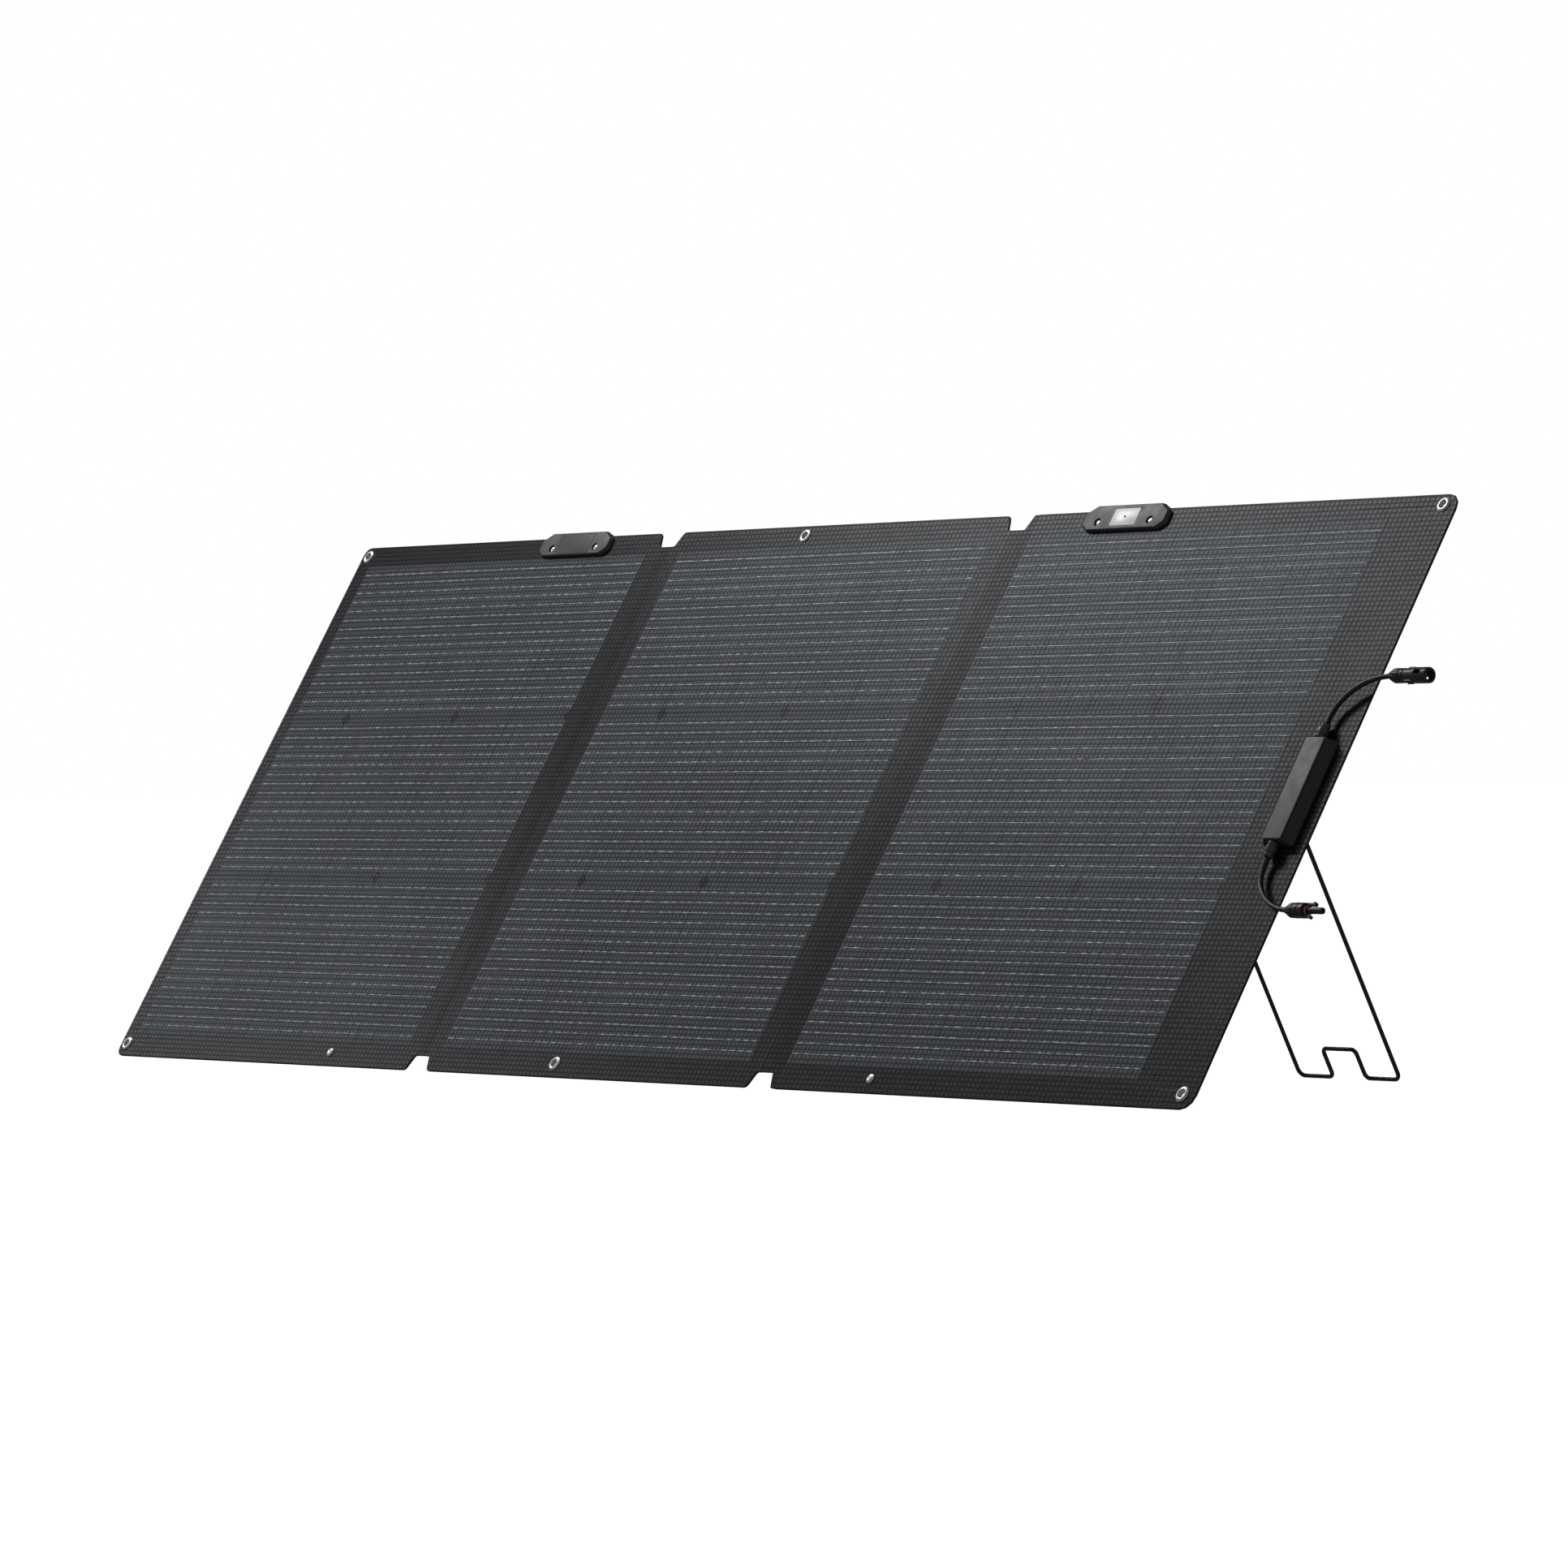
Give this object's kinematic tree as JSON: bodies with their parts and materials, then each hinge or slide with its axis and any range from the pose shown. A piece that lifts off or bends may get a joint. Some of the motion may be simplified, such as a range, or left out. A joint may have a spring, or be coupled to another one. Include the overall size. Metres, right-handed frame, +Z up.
{
  "type": "folding solar panel",
  "caption": "Folding camping solar panel: hinged cell panels on wire back stands, with a junction box, short leads with plug connectors, edge clips and eyelets.",
  "frame": {"origin": "on the ground, midway between the panels' bottom edge and the stands' feet, at the middle of the opened width", "axes": "+X along the opened width, towards the junction box; +Y backwards, from the cell side to the stands; +Z up"},
  "size_m": [1.9686, 0.5395, 0.5936],
  "materials": {
    "cell_laminate": "textured clear film over dark cells",
    "fibre_board": "plain",
    "back_fabric": "woven, matte",
    "fold_fabric": "woven, matte",
    "steel_wire": "satin black coat",
    "black_plastic": "fine grain",
    "grey_plastic": "fine grain",
    "nickel": "bright",
    "white_plastic": "smooth",
    "circuit_board": "plain",
    "connector_plastic": "smooth",
    "lead_sheath": "satin",
    "seal_rubber": "matte",
    "tinned_copper": "bright"
  },
  "bodies": {
    "middle_panel": {"middle_front_sheet": "cell_laminate", "middle_stiffener": "fibre_board", "middle_back_fabric": "back_fabric", "middle_top_eyelet": "nickel", "middle_bottom_eyelet": "nickel", "middle_stand_bracket": "black_plastic", "middle_stand_rivet_a": "nickel", "middle_stand_rivet_b": "nickel"},
    "left_fold": {"left_fold_strip": "fold_fabric"},
    "left_panel": {"left_front_sheet": "cell_laminate", "left_stiffener": "fibre_board", "left_back_fabric": "back_fabric", "left_top_eyelet": "nickel", "left_bottom_eyelet": "nickel", "left_bottom_rivet": "nickel", "left_clip_front": "black_plastic", "left_clip_back": "black_plastic", "left_clip_plate": "black_plastic", "left_clip_rivet_outer": "nickel", "left_clip_rivet_inner": "nickel", "left_stand_bracket": "black_plastic", "left_stand_rivet_a": "nickel", "left_stand_rivet_b": "nickel"},
    "right_fold": {"right_fold_strip": "fold_fabric"},
    "right_panel": {"right_front_sheet": "cell_laminate", "right_stiffener": "fibre_board", "right_back_fabric": "back_fabric", "right_top_eyelet": "nickel", "right_bottom_eyelet": "nickel", "right_bottom_rivet": "nickel", "right_clip_front": "black_plastic", "right_clip_back": "black_plastic", "sun_guide_window": "white_plastic", "sun_guide_pin": "black_plastic", "right_clip_rivet_outer": "nickel", "right_clip_rivet_inner": "nickel", "right_stand_bracket": "black_plastic", "right_stand_rivet_a": "nickel", "right_stand_rivet_b": "nickel", "junction_box_base": "black_plastic", "junction_box_lid": "grey_plastic", "diode_board": "circuit_board", "upper_gland_body": "black_plastic", "upper_gland_nut": "black_plastic", "lower_gland_body": "black_plastic", "lower_gland_nut": "black_plastic", "upper_lead": "lead_sheath", "lower_lead": "lead_sheath", "upper_connector_nut": "connector_plastic", "upper_connector_housing": "connector_plastic", "upper_connector_contact": "tinned_copper", "lower_connector_nut": "connector_plastic", "lower_connector_housing": "connector_plastic", "lower_connector_seal": "seal_rubber", "lower_connector_probe": "connector_plastic"},
    "left_stand": {"left_stand_wire": "steel_wire"},
    "middle_stand": {"middle_stand_wire": "steel_wire"},
    "right_stand": {"right_stand_wire": "steel_wire"}
  },
  "joints": [
    {"name": "left_fold_inner", "type": "hinge", "parent": "middle_panel", "child": "left_fold", "pos_m": [-0.3329, -0.0907, 0.29391], "axis": [0, 0.5188, 0.8549], "range_deg": [0, 90]},
    {"name": "left_fold_outer", "type": "hinge", "parent": "left_fold", "child": "left_panel", "pos_m": [-0.3449, -0.0907, 0.29391], "axis": [0, 0.5188, 0.8549], "range_deg": [0, 90]},
    {"name": "right_fold_inner", "type": "hinge", "parent": "middle_panel", "child": "right_fold", "pos_m": [0.269, -0.0907, 0.29391], "axis": [0, -0.5188, -0.8549], "range_deg": [0, 90]},
    {"name": "right_fold_outer", "type": "hinge", "parent": "right_fold", "child": "right_panel", "pos_m": [0.299, -0.0907, 0.29391], "axis": [0, -0.5188, -0.8549], "range_deg": [0, 90]},
    {"name": "left_stand_swing", "type": "hinge", "parent": "left_panel", "child": "left_stand", "pos_m": [-0.5765, 0.02518, 0.47274], "axis": [-1, 0, 0], "range_deg": [0, 58.5]},
    {"name": "middle_stand_swing", "type": "hinge", "parent": "middle_panel", "child": "middle_stand", "pos_m": [-0.0345, 0.02518, 0.47274], "axis": [-1, 0, 0], "range_deg": [0, 58.5]},
    {"name": "right_stand_swing", "type": "hinge", "parent": "right_panel", "child": "right_stand", "pos_m": [0.5745, 0.02518, 0.47274], "axis": [-1, 0, 0], "range_deg": [0, 58.5]}
  ]
}
